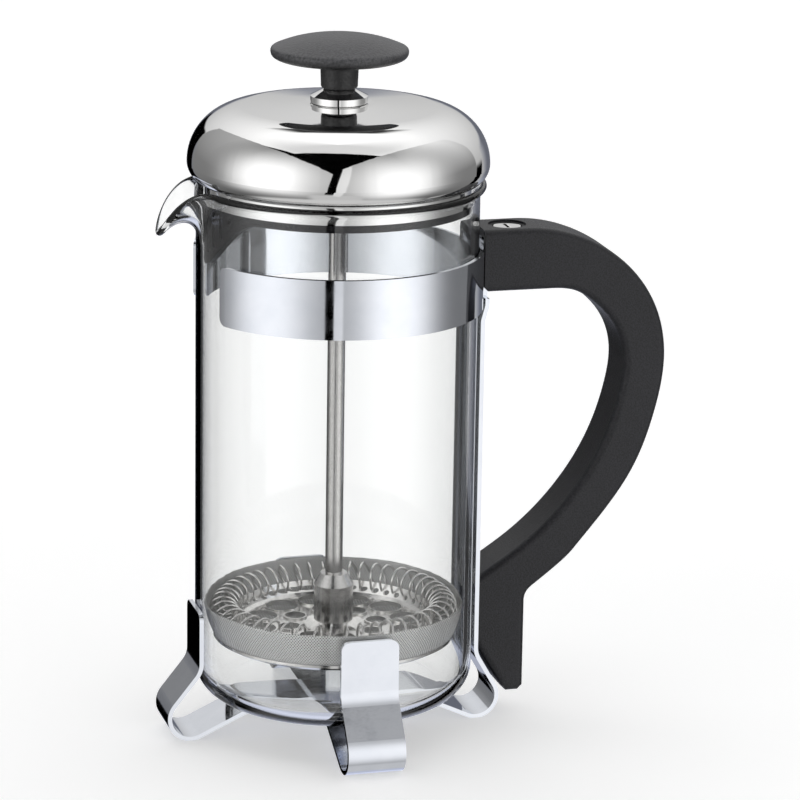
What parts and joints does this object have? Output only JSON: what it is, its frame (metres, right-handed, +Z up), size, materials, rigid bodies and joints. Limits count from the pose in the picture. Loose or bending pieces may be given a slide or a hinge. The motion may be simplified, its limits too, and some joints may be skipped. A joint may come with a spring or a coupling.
{
  "type": "french press",
  "caption": "Small glass french press with chromed strip frame, black side handle, domed steel lid and a plunger with a sprung mesh filter.",
  "frame": {"origin": "on the axis of the glass, at the level of the surface the four feet stand on", "axes": "+Z up along the glass and the plunger rod, +X towards the handle, -X towards the spout, +Y completes the right-handed frame"},
  "size_m": [0.1337, 0.0912, 0.1817],
  "materials": {
    "chrome_strip": "polished chrome plate",
    "polished_steel": "mirror polished stainless steel",
    "brushed_steel": "drawn and turned stainless steel",
    "spring_steel": "bright spring wire",
    "mesh_steel": "fine woven stainless wire",
    "black_plastic": "fine-grained moulded black plastic",
    "insert_plastic": "smooth satin black plastic",
    "brass": "turned brass",
    "clear_glass": "clear borosilicate glass"
  },
  "bodies": {
    "frame": {"collar_band": "chrome_strip", "handle_strip": "chrome_strip", "cross_strip": "chrome_strip", "base_rivet": "chrome_strip", "handle": "black_plastic", "handle_barrel_nut": "polished_steel", "handle_upper_screw": "brushed_steel", "handle_lower_screw": "brushed_steel"},
    "beaker": {"beaker": "clear_glass"},
    "lid_hub": {"lid_bushing": "polished_steel", "bushing_nut": "brushed_steel"},
    "lid": {"lid_dome": "polished_steel", "lid_skirt_ring": "polished_steel", "strainer_insert": "insert_plastic"},
    "plunger": {"knob": "black_plastic", "knob_insert": "brass", "plunger_rod": "brushed_steel", "hub_nut": "brushed_steel", "spring_plate": "polished_steel", "coil_spring": "spring_steel", "mesh_filter": "mesh_steel", "bottom_plate": "polished_steel", "end_nut": "brushed_steel"}
  },
  "joints": [
    {"name": "beaker_lift", "type": "slide", "parent": "frame", "child": "beaker", "axis": [0, 0, 1], "range_m": [0, 0.125]},
    {"name": "lid_lift", "type": "slide", "parent": "beaker", "child": "lid_hub", "axis": [0, 0, 1], "range_m": [0, 0.13]},
    {"name": "lid_turn", "type": "hinge", "parent": "lid_hub", "child": "lid", "pos_m": [0, 0, 0.15], "axis": [0, 0, 1], "continuous": true},
    {"name": "plunge", "type": "slide", "parent": "lid_hub", "child": "plunger", "axis": [0, 0, 1], "range_m": [0, 0.088]}
  ]
}
